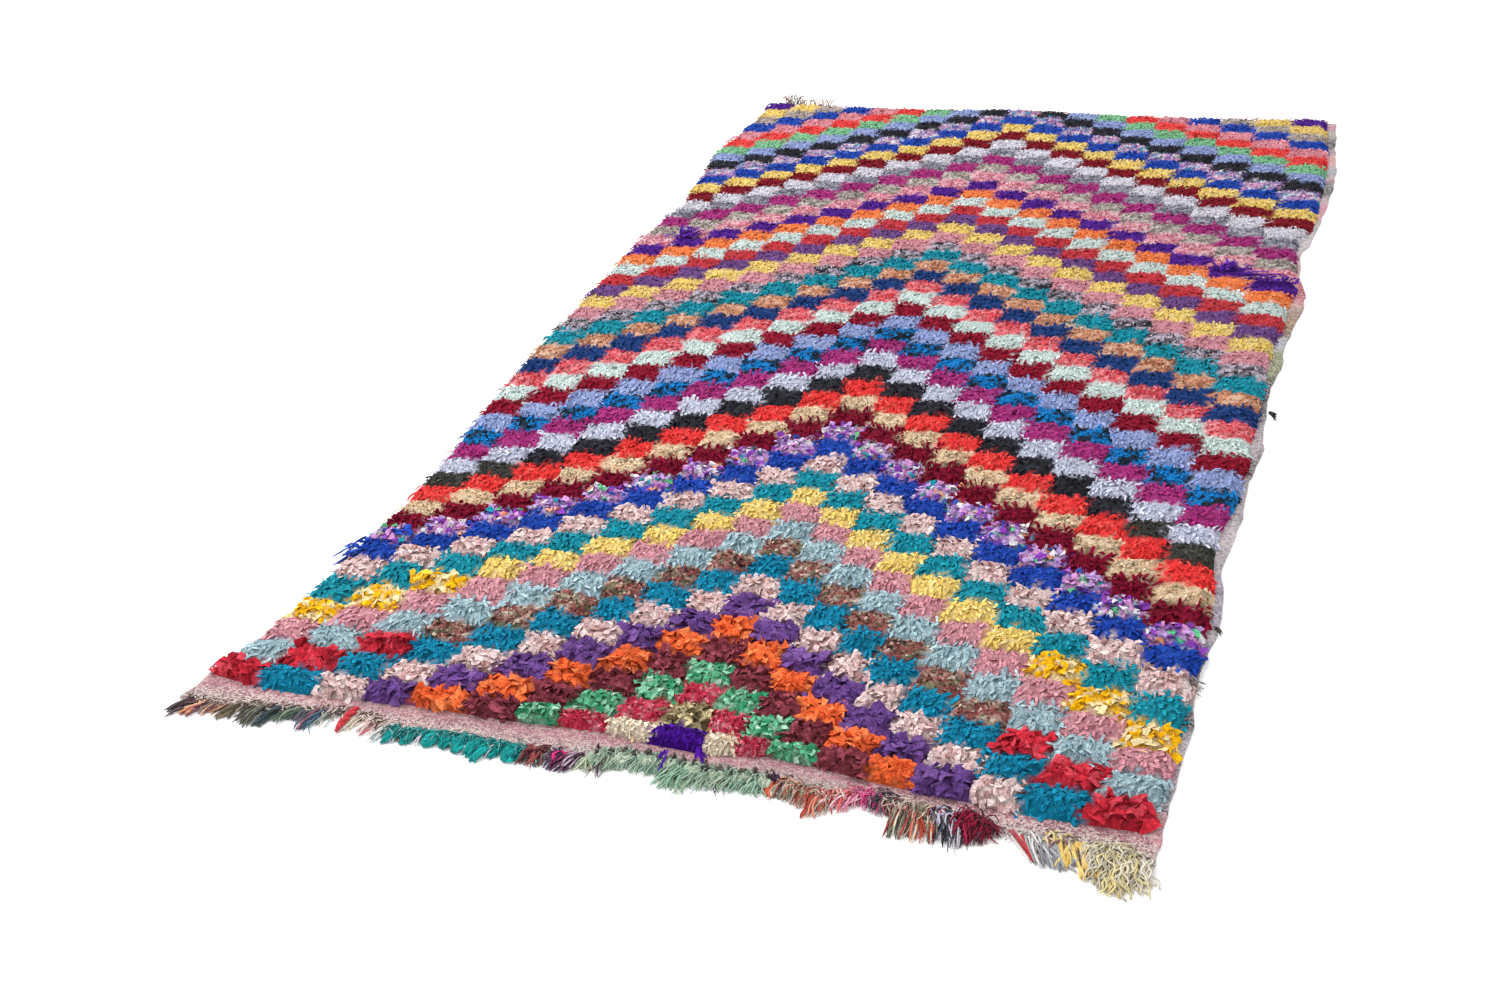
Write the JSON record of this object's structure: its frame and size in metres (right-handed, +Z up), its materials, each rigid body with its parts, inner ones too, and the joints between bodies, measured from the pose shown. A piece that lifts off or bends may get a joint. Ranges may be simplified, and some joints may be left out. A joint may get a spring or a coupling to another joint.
{
  "type": "boucherouite rag rug",
  "caption": "Thick shaggy rag-pile rug lying flat, with a stepped chevron in many colours, a flat-woven hem and selvedges, and a knotted and tasselled fringe at one end.",
  "frame": {"origin": "middle of the rug's box, on the floor that its flat underside rests on", "axes": "+Z up; +Y along the rug from the fringed near end to the far end; +X across it to the right"},
  "size_m": [1.5432, 2.8352, 0.031],
  "materials": {
    "pile": "shaggy cut cotton and wool rags, matt, in many colours",
    "ground": "coarse flat weave of dusty pink rag weft over a pale cotton warp, matt",
    "fringe": "knotted and looped warp ends of rag yarn in many colours, matt"
  },
  "bodies": {
    "root": {"rug": "pile", "fringe_brown": "fringe", "fringe_olive": "fringe", "fringe_rose": "fringe", "fringe_emerald": "fringe", "fringe_plum": "fringe", "fringe_mint": "fringe", "fringe_rust": "fringe", "fringe_pink": "fringe", "fringe_moss": "fringe", "fringe_crimson": "fringe", "fringe_cream": "fringe"}
  },
  "joints": []
}
